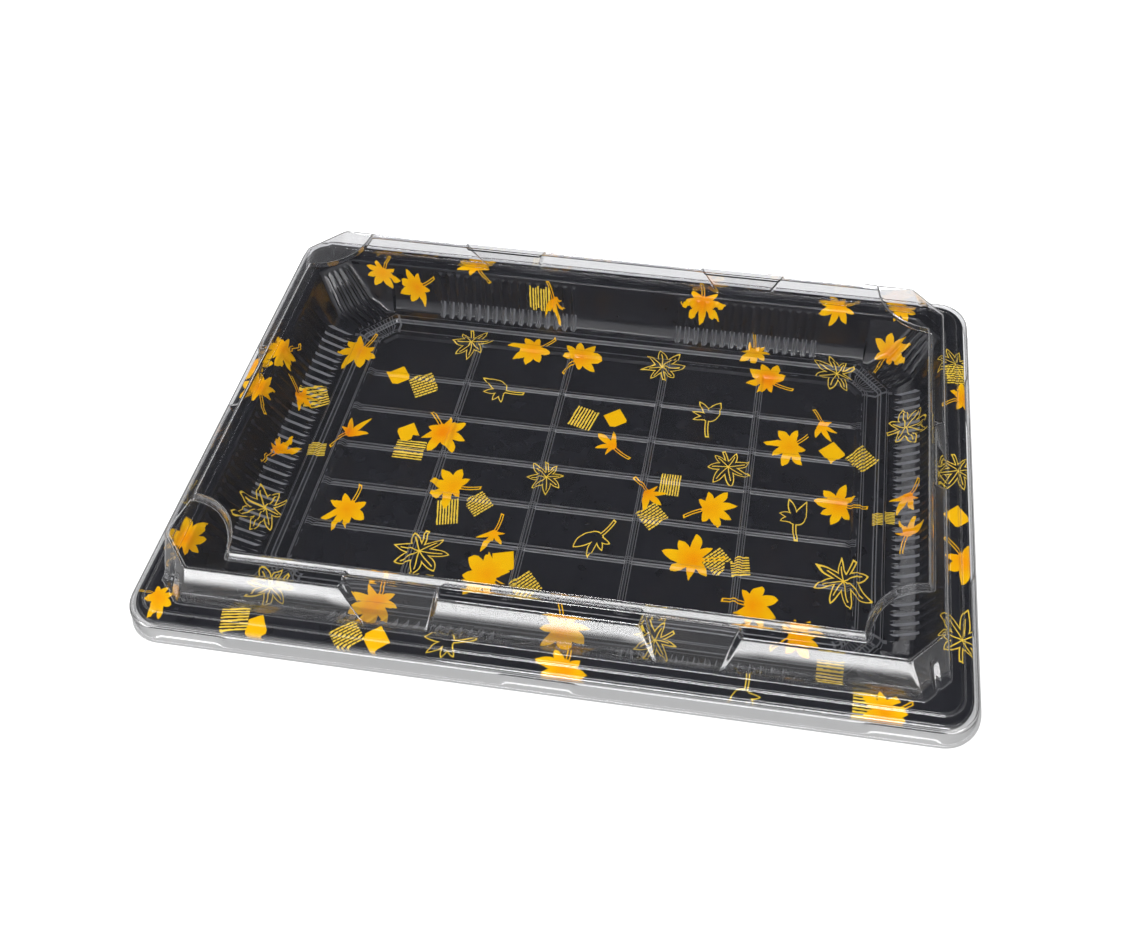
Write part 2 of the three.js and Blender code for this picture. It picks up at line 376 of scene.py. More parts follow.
def ring_levels():
    """Levels from the inner ring's top, where the floor's grid ends, over the outer ring."""
    start = (GRID_EDGE[0] + 0.4, GRID_EDGE[1] + 0.4, GRID_CUT + 0.2, FLOOR_Z + RING_HEIGHT)
    hx, hy, cut = OUTER_RING
    between = (hx - 1.5, hy - 1.5)
    beyond = (hx + 7.0, hy + 5.9, cut + 2.8, FLOOR_Z)
    inner = [start] + ring_profile(INNER_RING)[2:] + [(*between, cut - 1.0, FLOOR_Z)]
    outer = [(*between, cut - 0.7, FLOOR_Z)] + ring_profile(OUTER_RING) + [beyond]
    soft_edge = 0.35
    inner_levels = rounded_profile(inner, (0, soft_edge, soft_edge, 0))[:-1]
    return inner_levels + rounded_profile(outer, (0, *[soft_edge] * 4, 0))[:-1]


def tray_wall(rib, corner):
    """Levels from the floor's edge to the bead, (x, y, cut, z) each. rib and corner are 0 or 1."""
    inset = 2.6 * corner
    toe = 2.4 * rib
    lift = 1.15 * rib
    proud = 0.9 * rib
    upper_inset = inset * 0.6
    lower_turn, upper_turn = WALL_SLOPE * 2.6 + proud, WALL_SLOPE * 1.9
    points = [
        (149.0, 90.7, 16.2, FLOOR_Z),
        (153.2 - inset - toe, 94.0 - inset - toe, 15.5 - 0.6 * corner, FLOOR_Z),
        (162.0 - 0.5 * rib - inset, 98.0 - 0.5 * rib - inset, 16.0 - 0.6 * corner, LEDGE_Z + lift),
        (165.2 - proud - upper_inset, 101.2 - proud - upper_inset, 14.3, LEDGE_Z + 8.0),
        (RIM_X - lower_turn, RIM_Y - lower_turn, 12.5, UNDERCUT_Z - 0.6 * rib),
        (RIM_X - upper_turn, RIM_Y - upper_turn, 12.4, UNDERCUT_Z + 0.7),
        (RIM_X, RIM_Y, 12.0, RIM_Z),
    ]
    return rounded_profile(points, (0, 1.0, 1.1, 0, 0.5, 0.5, 0))


def flange_profile():
    """From the rim over the flange and its small step, down the bead."""
    points = [
        (RIM_X - 0.5, RIM_Y - 0.5, 12.2, RIM_Z - 1.2),
        (RIM_X, RIM_Y, 12.0, RIM_Z),
        (176.3, 111.8, 9.2, RIM_Z),
        (176.9, 112.4, 9.4, RIM_Z - 0.8),
        (180.9, 116.4, 13.0, RIM_Z - 0.8),
        (181.8, 117.3, 13.6, RIM_Z - 1.9),
        (181.8, 117.3, 13.6, RIM_Z - 5.4),
    ]
    return rounded_profile(points, (0, 0.9, 0.35, 0.35, 0.8, 0.8, 0))[1:]


def tray_rings():
    """The points of every level from the inner ring's top to the bead's foot."""
    layout, ribs, corner = tray_layout()

    def ring(level, style=STRAIGHT, soft=2.2):
        hx, hy, cut, z = level
        flat = whole(layout.quarter(hx, hy, cut, style, soft))
        return np.column_stack([flat, np.full(len(flat), z)])

    def blend(first, second, weight):
        return first * (1 - weight)[:, None] + second * weight[:, None]

    rings = [ring(level, soft=1.4) for level in ring_levels()]
    walls = [tray_wall(rib, bend) for bend in (0.0, 1.0) for rib in (0.0, 1.0)]
    for levels in list(zip(*walls))[:-1]:
        side_valley, side_rib, corner_valley, corner_rib = [ring(level) for level in levels]
        side = blend(side_valley, side_rib, ribs)
        rings.append(blend(side, blend(corner_valley, corner_rib, ribs), corner))
    for level in flange_profile():
        on_rim = level[0] < RIM_X + 2.6
        rings.append(ring(level, STRAIGHT if on_rim else ROUNDED))
    return rings


def tray_object():
    points, faces, loop = floor_grid()
    rings = tray_rings()
    first, count = len(points), len(rings[0])
    points = np.concatenate([points] + rings)
    faces += loft_faces(first, count, len(rings))
    faces += zip_loops(points, [int(i) for i in loop], list(range(first, first + count)))
    obj = mesh_object("tray_shell", points, faces, 50)
    group = obj.vertex_groups.new(name="sheet")
    on_floor = np.all(np.abs(points[:, :2]) < SHEET_TURN, axis=1)
    group.add(np.nonzero(on_floor)[0].tolist(), 1.0, "REPLACE")
    group.add(np.nonzero(~on_floor)[0].tolist(), WALL_SHEET_SHARE, "REPLACE")
    return obj


# ---- Print ----

SOLID, OUTLINE, HALF, SLIM = 1, 2, 3, 4

# Leaves of each kind: x, y, radius, the way the stem points in degrees, and how orange the middle is.
LEAVES = {
    SOLID: [
        (-142, 61, 10, 60, 0.4), (-48, 75, 10, 33, 0.4), (-21, 73, 10, 228, 0.5),
        (-82, 14, 10.5, 120, 0.9), (-68, -18, 10, -5, 0.3), (-116, -38, 10, 70, 0.4),
        (-39, -64, 11, -30, 0.3), (82, 72, 10.5, -28, 0.9), (97, 30, 10, 35, 0.3),
        (61, -13, 10, 198, 0.3), (124, -2, 10, -8, 0.5), (56, -42, 11, 0, 0.6),
        (87, -63, 10.5, 165, 0.5), (73, 90, 7, 90, 0.3), (109, -76, 10, 200, 0.5),
        (146, 95, 8.5, 225, 0.6), (-169, -105, 10.5, 160, 0.4), (-171, -77, 10, 250, 0.6),
        (-181, 25, 9, 100, 0.5), (-171, 11, 9.5, 300, 0.6), (-169, 38, 9, 40, 0.5),
        (11, -115, 10, 80, 0.4), (179, -39, 10, 120, 0.5), (181, 55, 9, 200, 0.5),
        (-85, 111, 9.5, -60, 0.3), (115, 108, 9, 20, 0.4), (149, 112, 8, 70, 0.4),
        (-138, 103, 8.5, 65, 0.4), (-119, 101, 8.5, 20, 0.5), (42, 104, 10, 90, 0.9),
        (-86, -85, 10.5, 80, 0.6), (2, -86, 10, 100, 0.4), (145, -115, 9, 20, 0.4),
    ],
    SLIM: [
        (-130, 6, 9.5, 225, 0.8), (-41, -41, 9, 75, 0.3), (7, 17, 9.5, -40, 0.5),
        (113, 46, 9, 110, 0.3), (29, -8, 9, 130, 0.6), (-161, 23, 9, 140, 0.6),
        (-160, -12, 9, 240, 0.6), (158, 6, 9, 60, 0.6), (157, -16, 9, 250, 0.5),
        (-41, 101, 9, 100, 0.5),
    ],
    OUTLINE: [
        (-83, 75, 10, 98, 0), (-74, -56, 12, 80, 0), (-23, -6, 9, 95, 0), (24, 73, 10.5, 280, 0),
        (119, 82, 10.5, 20, 0), (67, 13, 10, 105, 0), (128, -44, 12.5, 60, 0), (-155, -44, 11, 30, 0),
        (156, 49, 11, 200, 0), (177, 10, 10, 100, 0), (177, -78, 11, 260, 0), (177, 77, 9, 30, 0),
        (45, -86, 10, 30, 0), (-137, -84, 10, 45, 0),
    ],
    HALF: [
        (-59, 45, 10.5, -10, 0), (53, 43, 11, 267, 0), (103, -13, 10.5, 268, 0), (9, -37, 10.5, 50, 0),
        (-40, -109, 10, 10, 0), (87, -115, 9, 80, 0),
    ],
}

PLAIN, WOVEN, STRIPED = 1, 2, 3

# Squares of each kind: x, y, width, height, turn in degrees.
SQUARES = {
    PLAIN: [
        (-116, 47, 9.9, 9.9, 38), (-100, 11, 9.4, 9.4, 34), (5, 35, 9.5, 9.5, 35),
        (119, 29, 10, 10, 42), (-124, -114, 9, 9, 30), (-71, -112, 9, 9, 40), (148, -113, 9, 9, 35),
        (176, -16, 9, 9, 40), (-33, -56, 10, 10, 15),
    ],
    WOVEN: [
        (-101, 43, 13, 14, 32), (-53, -26, 11, 11, 45), (-20, -67, 12, 12, 45),
        (134, 27, 12.5, 12.5, 45), (33, -21, 12, 12, 45), (68, -42, 12, 12, 45),
        (-84, -112, 12, 11, 40), (177, 70, 11, 12, 10),
    ],
    STRIPED: [
        (-96, 1, 15.5, 12, 0), (-67, -33, 14, 11, 103), (-143, -6, 9, 8, 10), (-12, 33, 13, 13, 75),
        (39, -2, 12.5, 10.5, 90), (79, -43, 9, 11, 10), (143, -8, 5, 7, 0), (149, -6, 5, 7, 0),
        (-155, 26, 13, 13, 30), (-134, -111, 12, 11, 10), (138, -112, 13, 11, 0),
        (-49, 101, 12, 12, 90), (124, -90, 12, 12, 0),
    ],
}

# How much wider the print is laid out on the walls, which start WALL_FOOT from the middle.
WALL_SPREAD = 1.5
WALL_FOOT = (162.0, 98.0)
WALL_WIDTH = RIM_X - WALL_FOOT[0]

# How far out a shape may be drawn, in half widths, and the value stored where there is none.
LEAF_REACH, SQUARE_REACH = 1.75, 1.5
OFF_PRINT = 9.0

# Painted highlights on edges, a lighter grey in the colour: faces narrower than NARROW on the floor's
# bars and rings, and, more, the sides of the ribs' feet, which lean more than RIB_LEAN towards their
# neighbours.
NARROW, NARROW_PAINTED_HIGHLIGHT = 0.53, 0.5
RIB_FOOT_Z = FLOOR_Z + 8.0
RIB_LEAN = 0.3


def read(items, name, width=1, kind=np.float32):
    """One property of a mesh's vertices, edges, loops or faces, as an array."""
    values = np.zeros(len(items) * width, kind)
    items.foreach_get(name, values)
    return values if width == 1 else values.reshape(-1, width)


def unrolled(spots):
    """Plan positions with the walls laid out wider, since the print is less stretched on them."""
    away = np.abs(spots)
    wide = away + WALL_SPREAD * np.clip(away - WALL_FOOT, 0.0, WALL_WIDTH)
    return np.sign(spots) * wide


def stamp_painted_highlights(obj):
    """Stores how strongly each face gets a painted highlight, a lighter grey mixed into its colour."""
    mesh = obj.data
    ends = read(mesh.edges, "vertices", 2, np.int32)
    spots = read(mesh.vertices, "co", 3) / MM
    lengths = np.linalg.norm(spots[ends[:, 0]] - spots[ends[:, 1]], axis=1)
    loop_lengths = lengths[read(mesh.loops, "edge_index", kind=np.int32)]
    starts = read(mesh.polygons, "loop_start", kind=np.int32)
    narrow = np.minimum.reduceat(loop_lengths, starts) < NARROW
    x, y, z = np.abs(read(mesh.polygons, "center", 3) / MM).T
    lean_x, lean_y, _ = np.abs(read(mesh.polygons, "normal", 3)).T
    on_floor = (z < FLOOR_Z + RING_HEIGHT + 0.1) & (x < 148.5) & (y < 90.5)
    long_ribs = (y > 88.0) & (x < 110.0) & (lean_x > RIB_LEAN)
    short_ribs = (x > 145.0) & (y < 72.0) & (lean_y > RIB_LEAN)
    on_rib = (long_ribs | short_ribs) & (z < RIB_FOOT_Z)
    # Painted highlight strength: half on narrow floor faces, full on the ribs' feet.
    painted_highlight = np.maximum(NARROW_PAINTED_HIGHLIGHT * (narrow & on_floor), on_rib)
    attribute = mesh.attributes.new("edge", "FLOAT", "FACE")
    attribute.data.foreach_set("value", painted_highlight.astype(np.float32))


def nearest_shape(centre, shapes, reach):
    """For each face's centre the number of the printed shape that it belongs to, or -1."""
    best = np.full(len(centre), np.inf)
    chosen = np.full(len(centre), -1)
    for number, (x, y, half_u, half_v, _, _) in enumerate(shapes):
        away = np.hypot(centre[:, 0] - x, centre[:, 1] - y) / (reach * max(half_u, half_v))
        nearer = (away < best) & (away < 1.0)
        best[nearer] = away[nearer]
        chosen[nearer] = number
    return chosen


def stamp_print(obj, name, shapes, reach):
    """Stores on each face's corners their place in the nearest printed shape, in half widths from
    its middle, and its code. Shapes are (x, y, half width, half height, turn in degrees, code)."""
    mesh = obj.data
    shapes = [(*unrolled(np.array(shape[:2], float)), *shape[2:]) for shape in shapes]
    spots = unrolled(read(mesh.vertices, "co", 3)[:, :2] / MM)
    spots = spots[read(mesh.loops, "vertex_index", kind=np.int32)]
    starts = read(mesh.polygons, "loop_start", kind=np.int32)
    totals = read(mesh.polygons, "loop_total", kind=np.int32)
    centre = np.add.reduceat(spots, starts, axis=0) / totals[:, None]
    owner = np.repeat(nearest_shape(centre, shapes, reach), totals)
    values = np.full((len(spots), 3), OFF_PRINT)
    values[:, 2] = 0.0
    for number, (x, y, half_u, half_v, angle, code) in enumerate(shapes):
        mine = owner == number
        turn = math.radians(angle)
        dx, dy = spots[mine, 0] - x, spots[mine, 1] - y
        values[mine, 0] = (dx * math.cos(turn) + dy * math.sin(turn)) / half_u
        values[mine, 1] = (dy * math.cos(turn) - dx * math.sin(turn)) / half_v
        values[mine, 2] = code
    attribute = mesh.attributes.new(name, "FLOAT_VECTOR", "CORNER")
    attribute.data.foreach_set("vector", values.astype(np.float32).ravel())


def stamp(obj):
    """Stores the print's places and the painted highlights. A leaf's code is its kind plus up to 0.4
    for how orange it is."""
    leaves = [
        (x, y, r, r, turn, kind + 0.4 * orange)
        for kind in LEAVES for x, y, r, turn, orange in LEAVES[kind]
    ]
    squares = [
        (x, y, width / 2, height / 2, turn, kind)
        for kind in SQUARES for x, y, width, height, turn in SQUARES[kind]
    ]
    stamp_print(obj, "leaf_print", leaves, LEAF_REACH)
    stamp_print(obj, "square_print", squares, SQUARE_REACH)
    stamp_painted_highlights(obj)


# ---- Materials ----


class Graph:
    """Short ways to add nodes to one material or world."""

    def __init__(self, owner, output="ShaderNodeOutputMaterial"):
        owner.use_nodes = True
        self.owner = owner
        self.tree = owner.node_tree
        self.tree.nodes.clear()
        self.output = self.tree.nodes.new(output)

    def node(self, kind, **settings):
        made = self.tree.nodes.new(kind)
        for key, value in settings.items():
            setattr(made, key, value)
        return made

    def feed(self, socket, value):
        if isinstance(value, bpy.types.NodeSocket):
            self.tree.links.new(value, socket)
        elif value is not None:
            socket.default_value = value

    def value(self, kind, *numbers, **settings):
        """The first output of a new node, with its first inputs fed."""
        made = self.node(kind, **settings)
        for socket, number in zip(made.inputs, numbers):
            self.feed(socket, number)
        return made.outputs[0]

    def fed(self, kind, sockets):
        """The first output of a new node, with its named inputs fed."""
        made = self.node(kind)
        for name, value in sockets.items():
            self.feed(made.inputs[name], value)
        return made.outputs[0]

    def surface(self, shader):
        self.feed(self.output.inputs["Surface"], shader)
        return self.owner

    def math(self, operation, a, b=None, c=None, clamp=False):
        return self.value("ShaderNodeMath", a, b, c, operation=operation, use_clamp=clamp)

    def times(self, a, b):
        return self.math("MULTIPLY", a, b)

    def minus(self, a, b):
        return self.math("SUBTRACT", a, b)

    def scaled(self, a, scale, offset):
        return self.math("MULTIPLY_ADD", a, scale, offset)

    def below(self, a, b):
        return self.math("LESS_THAN", a, b)

    def is_about(self, a, b):
        return self.math("COMPARE", a, b, 0.3)

    both = times

    def either(self, a, b):
        return self.math("MAXIMUM", a, b)

    def without(self, a, b):
        return self.times(a, self.minus(1.0, b))

    def curve(self, value, points):
        """A value from straight lines through (position, height) points, both from 0 to 1."""
        made = self.node("ShaderNodeFloatCurve")
        line = made.mapping.curves[0]
        line.points[0].location = points[0]
        line.points[1].location = points[-1]
        for point in points[1:-1]:
            line.points.new(*point)
        for point in line.points:
            point.handle_type = "VECTOR"
        made.mapping.use_clip = False
        made.mapping.update()
        self.feed(made.inputs["Value"], value)
        return made.outputs[0]

    def noise(self, scale, detail, vector):
        return self.fed("ShaderNodeTexNoise", {"Scale": scale, "Detail": detail, "Vector": vector})

    def mix_colour(self, factor, a, b):
        made = self.node("ShaderNodeMix", data_type="RGBA")
        for socket, value in zip((made.inputs[0], *made.inputs[6:8]), (factor, a, b)):
            self.feed(socket, value)
        return made.outputs[2]

    def map_range(self, value, low, high, to_low, to_high, kind="LINEAR"):
        """to_low at low and to_high at high, and between them in between."""
        ends = (low, high, to_low, to_high)
        return self.value("ShaderNodeMapRange", value, *ends, interpolation_type=kind)

    def ease(self, value, low, high, to_low, to_high):
        return self.map_range(value, low, high, to_low, to_high, "SMOOTHSTEP")

    def place(self):
        return self.node("ShaderNodeTexCoord").outputs["Object"]

    def split(self, vector):
        made = self.node("ShaderNodeSeparateXYZ")
        self.feed(made.inputs[0], vector)
        return made.outputs

    def stored(self, name, output="Vector"):
        return self.node("ShaderNodeAttribute", attribute_name=name).outputs[output]

    def bump(self, height, strength, distance):
        sockets = {"Strength": strength, "Distance": distance, "Height": height}
        return self.fed("ShaderNodeBump", sockets)


# Leaf outlines: (angle from the stem in degrees, radius). The first two are mirrored.
SOLID_LEAF = [
    (0, 0.46), (16, 0.40), (30, 0.60), (44, 0.92), (54, 0.78), (64, 0.56), (76, 0.84), (90, 1.16),
    (101, 0.92), (110, 0.62), (121, 0.92), (136, 1.22), (146, 0.96), (155, 0.66), (167, 0.96), (180, 1.28),
]
OUTLINE_LEAF = [
    (0, 0.34), (10, 0.36), (24, 0.52), (40, 0.98), (50, 0.80), (62, 0.50), (74, 0.74), (88, 1.16),
    (98, 0.84), (108, 0.52), (120, 0.80), (134, 1.20), (145, 0.86), (155, 0.54), (167, 0.88), (180, 1.26),
]
HALF_LEAF = [
    (0, 0.28), (25, 0.31), (60, 0.38), (100, 0.50), (130, 0.72), (148, 0.98), (157, 1.20), (167, 0.84),
    (182, 0.44), (192, 0.70), (204, 1.00), (214, 0.68), (226, 0.38), (240, 0.62), (250, 0.80), (260, 0.58),
    (268, 0.44), (280, 0.62), (290, 0.74), (302, 0.44), (318, 0.30), (360, 0.28),
]
SLIM_LEAF = [
    (0, 0.16), (40, 0.18), (90, 0.24), (118, 0.40), (134, 0.78), (143, 1.14), (152, 0.70), (162, 0.42),
    (174, 0.78), (187, 1.24), (196, 0.74), (206, 0.36), (219, 0.66), (230, 1.00), (239, 0.56), (250, 0.26),
    (268, 0.40), (280, 0.60), (290, 0.34), (306, 0.18), (360, 0.16),
]
LARGEST_RADIUS = 1.5

# Widths of the printed lines in leaf radii, the veins' angles, and their share of the way out.
LINE = 0.046
VEIN = 0.022
VEINS = (40, 88, 134, 180)
VEIN_REACH = 0.74

# Half widths of the stem and of its hollow, where it starts and ends, how much shorter it is on
# outlined and on half and slim leaves, and how strongly it bends.
STEM, STEM_HOLLOW = 0.095, 0.045
STEM_START, STEM_END = 0.12, 1.4
OUTLINE_STEM_CUT, SIDE_STEM_CUT = 0.45, 0.2
STEM_BEND = 0.16


def mirrored(points):
    return points + [(360 - angle, size) for angle, size in points[::-1][1:]]


def radius_curve(points):
    return [(angle / 360, size / LARGEST_RADIUS) for angle, size in points]


def width_curve(points):
    """How far the outline's line reaches inwards along the radius, so that its width looks even."""
    widths = []
    for (a0, r0), (a1, r1) in zip(points[:-1], points[1:]):
        slope = (r1 - r0) / math.radians(a1 - a0)
        middle = (r0 + r1) / 2
        width = min(LINE * math.sqrt(1 + (slope / middle) ** 2), 0.8 * middle)
        widths += [((a0 + share * (a1 - a0)) / 360, width) for share in (0.25, 0.75)]
    return [(0.0, widths[0][1])] + widths + [(1.0, widths[-1][1])]


def vein_curve():
    """Angle to the nearest vein, from 0 to 1 for up to half a turn."""
    tips = sorted(set(VEINS) | {360 - tip for tip in VEINS})
    points = [(0.0, tips[0] / 180)]
    for before, after in zip(tips[:-1], tips[1:]):
        points += [(before / 360, 0.0), ((before + after) / 720, (after - before) / 360)]
    return points + [(tips[-1] / 360, 0.0), (1.0, (360 - tips[-1]) / 180)]


def stem_layers(g, u, v, is_outline, is_side):
    """Where the stem is, and where it is hollow."""
    bend = g.times(g.math("POWER", g.minus(u, 0.2), 2.0), STEM_BEND)
    across = g.math("ABSOLUTE", g.minus(v, bend))
    end = g.scaled(is_outline, -OUTLINE_STEM_CUT, STEM_END)
    end = g.scaled(is_side, -SIDE_STEM_CUT, end)
    started = g.below(STEM_START, u)
    stem = g.both(g.both(g.below(across, STEM), started), g.below(u, end))
    hollow_end = g.minus(end, 0.07)
    hollow = g.both(g.below(across, STEM_HOLLOW), g.both(started, g.below(u, hollow_end)))
    return stem, hollow


def leaf_layers(g):
    """Where the printed leaves are, how far each spot is towards orange, and which are outlines."""
    u, v, code = g.split(g.stored("leaf_print"))
    kind = g.math("FLOOR", g.math("ADD", code, 0.02))
    orange = g.times(g.minus(code, kind), 2.5)
    kinds = [g.is_about(kind, wanted) for wanted in (SOLID, OUTLINE, HALF, SLIM)]
    is_solid, is_outline, is_half, is_slim = kinds

    def chosen(choices):
        total = 0.0
        for choice, picked in zip(choices, kinds):
            total = g.scaled(choice, picked, total)
        return total

    # Each leaf is a little bigger or smaller, turned and frayed at its edge.
    place = g.place()
    grown = g.scaled(g.noise(85.0, 0.0, place), 0.7, 0.65)
    twist = g.scaled(g.noise(55.0, 0.0, place), 0.12, 0.94)
    frayed = g.times(g.minus(g.noise(700.0, 1.0, place), 0.5), 0.10)
    distance = g.math("SQRT", g.math("ADD", g.times(u, u), g.times(v, v)))
    turn = g.math("DIVIDE", g.math("ARCTAN2", v, u), 2 * math.pi)
    turn = g.math("FRACT", g.math("ADD", turn, twist))

    shapes = [mirrored(SOLID_LEAF), mirrored(OUTLINE_LEAF), HALF_LEAF, SLIM_LEAF]
    radius = chosen([g.curve(turn, radius_curve(shape)) for shape in shapes])
    edge = g.times(g.times(radius, LARGEST_RADIUS), grown)
    edge = g.scaled(is_solid, frayed, edge)
    width = chosen([g.curve(turn, width_curve(shape)) for shape in shapes])
    body = g.below(distance, edge)
    body_hollow = g.below(distance, g.minus(edge, width))
    stem, stem_hollow = stem_layers(g, u, v, is_outline, g.either(is_half, is_slim))
    off_vein = g.times(g.times(g.curve(turn, vein_curve()), math.pi), distance)
    in_reach = g.below(distance, g.times(edge, VEIN_REACH))
    vein = g.both(g.both(g.below(off_vein, VEIN), in_reach), is_outline)

    filled = g.either(body, g.without(stem, stem_hollow))
    line = g.without(g.either(body, stem), g.either(body_hollow, stem_hollow))
    is_filled, is_drawn = g.either(is_solid, is_slim), g.either(is_outline, is_half)
    mask = g.either(g.both(filled, is_filled), g.both(g.either(line, vein), is_drawn))
    cloudy = g.scaled(g.noise(320.0, 2.0, place), 0.5, distance)
    depth = g.map_range(cloudy, 0.25, 1.15, 1.0, 0.0)
    towards_orange = g.math("MULTIPLY", depth, g.math("ADD", orange, 0.25), clamp=True)
    return mask, g.both(towards_orange, is_filled), is_drawn


def square_layers(g):
    """Where the printed squares are, and where they are the paler, woven or striped kind."""
    u, v, kind = g.split(g.stored("square_print"))
    inside = g.both(g.below(g.math("ABSOLUTE", u), 1.0), g.below(g.math("ABSOLUTE", v), 1.0))
    is_plain, is_woven, is_striped = [g.is_about(kind, wanted) for wanted in (PLAIN, WOVEN, STRIPED)]
    rows = g.times(v, 4.0)
    row_height = g.math("FRACT", rows)
    bricks = g.scaled(g.math("FLOOR", rows), 0.5, g.times(u, 2.6))
    along_row = g.math("FRACT", bricks)
    woven = g.without(g.below(row_height, 0.56), g.below(along_row, 0.14))
    uneven = g.scaled(g.noise(500.0, 1.0, g.place()), 0.6, 0.22)
    striped = g.below(row_height, uneven)
    pattern = g.either(g.both(woven, is_woven), g.both(striped, is_striped))
    return g.both(inside, g.either(pattern, is_plain)), g.both(inside, g.either(is_woven, is_striped))


BLACK = (0.0195, 0.0200, 0.0240, 1)
DARK_BLACK = tuple(0.75 * channel for channel in BLACK[:3]) + (1,)
# Painted highlight: the lighter grey mixed into the black on narrow edges and the ribs' feet.
PAINTED_HIGHLIGHT_GREY = (0.165, 0.168, 0.180, 1)
YELLOW = (0.76, 0.415, 0.003, 1)
ORANGE = (0.72, 0.205, 0.0006, 1)
PALE = (0.72, 0.50, 0.05, 1)
TRAY_IOR = 1.57
PRINTED_ROUGHNESS = (0.09, 0.14)
PLAIN_ROUGHNESS = (0.24, 0.34)
LID_IOR = 1.56
LID_TINT = (0.965, 0.965, 0.975, 1)
LID_SHADE = (0.97, 0.975, 0.98, 1)


def printed_colour(g, black):
    """The tray's black with the squares and the leaves printed on it."""
    leaf, towards_orange, is_drawn = leaf_layers(g)
    square, is_pale = square_layers(g)
    colour = g.mix_colour(square, black, g.mix_colour(is_pale, YELLOW, PALE))
    leaf_colour = g.mix_colour(is_drawn, g.mix_colour(towards_orange, YELLOW, ORANGE), PALE)
    return g.mix_colour(leaf, colour, leaf_colour)


def tray_material(printed):
    """Black plastic: glossy and printed on the upper face, duller and plain underneath."""
    g = Graph(bpy.data.materials.new("printed_black_plastic" if printed else "plain_black_plastic"))
    place = g.place()
    mottle = g.noise(90.0, 3.0, place)
    black = g.mix_colour(mottle, DARK_BLACK, BLACK)
    # Painted highlight: faces with an 'edge' value are lightened towards the highlight grey.
    black = g.mix_colour(g.stored("edge", "Fac"), black, PAINTED_HIGHLIGHT_GREY)
    roughness = PRINTED_ROUGHNESS if printed else PLAIN_ROUGHNESS
    return g.surface(g.fed("ShaderNodeBsdfPrincipled", {
        "Base Color": printed_colour(g, black) if printed else black,
        "Roughness": g.map_range(mottle, 0.3, 0.7, *roughness),
        "IOR": TRAY_IOR,
        "Normal": g.bump(g.noise(70.0, 2.0, place), 0.06, 0.0004),
    }))


def lid_material():
    """Clear plastic that is slightly wavy, and lets light straight through to what it shades."""
    g = Graph(bpy.data.materials.new("clear_lid_plastic"))
    place = g.place()
    plastic = g.fed("ShaderNodeBsdfPrincipled", {
        "Base Color": LID_TINT,
        "Roughness": g.map_range(g.noise(60.0, 2.0, place), 0.3, 0.7, 0.0, 0.004),
        "IOR": LID_IOR,
        "Normal": g.bump(g.noise(24.0, 0.0, place), 0.03, 0.0005),
        "Transmission Weight": 1.0,
    })
    clear = g.fed("ShaderNodeBsdfTransparent", {"Color": LID_SHADE})
    is_shadow = g.node("ShaderNodeLightPath").outputs["Is Shadow Ray"]
    return g.surface(g.value("ShaderNodeMixShader", is_shadow, plastic, clear))


# ---- Lid ----

# Sloping panels: where the two on each long side are, and each panel's half width at the top and
# at the foot. They are pressed in at the shoulder and run out at the dome's foot.
SHOULDER_Z, DOME_FOOT_Z = 50.4, 25.95
PANEL_X = 62.5
PANEL_HALF_X = (20.0, 12.8)
PANEL_HALF_Y = (17.3, 10.5)
PANEL_DEPTH = 4.4
PANEL_EDGE = np.array((-1.0, -0.5, 0.0, 0.5, 1.0))
PANEL_EDGE_WIDTH = 1.4

# Dents in the skirt, which catch under the tray's bead: depth, places along the long and the short
# sides, how far each is full and where it ends, and how high they reach.
DENT = 1.5
LONG_DENTS, LONG_DENT_ENDS = (-154.0, 0.0, 154.0), (14.0, 17.5)
SHORT_DENTS, SHORT_DENT_ENDS = (-58.0, 58.0), (12.0, 15.5)
DENT_Z = (14.8, 16.6, 21.0, 22.8)

# A notch down the middle of each of the dome's corners, and the number of points along a corner.
NOTCH = 1.6
CORNER_POINTS = 13

# The oval in the middle of the lid's flat top.
TOP_OVAL = (110.0, 55.0)


def lid_side(level_z):
    """Where the lid's points are along the long and short sides at one height, and how far each
    is pressed in by the panels, from 0 to 1."""
    share = min(max((SHOULDER_Z - level_z) / (SHOULDER_Z - DOME_FOOT_Z), 0.0), 1.0)
    half_x = PANEL_HALF_X[0] + (PANEL_HALF_X[1] - PANEL_HALF_X[0]) * share
    half_y = PANEL_HALF_Y[0] + (PANEL_HALF_Y[1] - PANEL_HALF_Y[0]) * share
    edge = PANEL_EDGE * PANEL_EDGE_WIDTH
    weight = smoothstep(-1.0, 1.0, PANEL_EDGE)
    before_x = [0.0, 5.0, 10.0, 13.0, 14.5, 16.0, 17.5, 19.5, 26.0, 33.0]
    beyond_x = [91.0, 102.0, 113.0, 124.0]
    panel_x = PANEL_X + half_x * np.array([-0.6, -0.2, 0.2, 0.6])
    beyond_y = [64.0, 62.0, 60.0, 57.0, 54.0, 51.0, 48.0, 46.0, 44.0, 42.0, 40.0, 36.0, 30.0, 24.0]
    panel_y = half_y * np.array([0.55, 0.25, 0.0])
    xs = np.concatenate([before_x, PANEL_X - half_x + edge, panel_x, PANEL_X + half_x + edge, beyond_x])
    press_x = [np.zeros(len(before_x)), weight, np.ones(4), 1 - weight, np.zeros(len(beyond_x))]
    ys = np.concatenate([beyond_y, half_y + edge[::-1], panel_y])
    press_y = [np.zeros(len(beyond_y)), 1 - weight[::-1], np.ones(3)]
    return xs, np.concatenate(press_x), ys, np.concatenate(press_y)


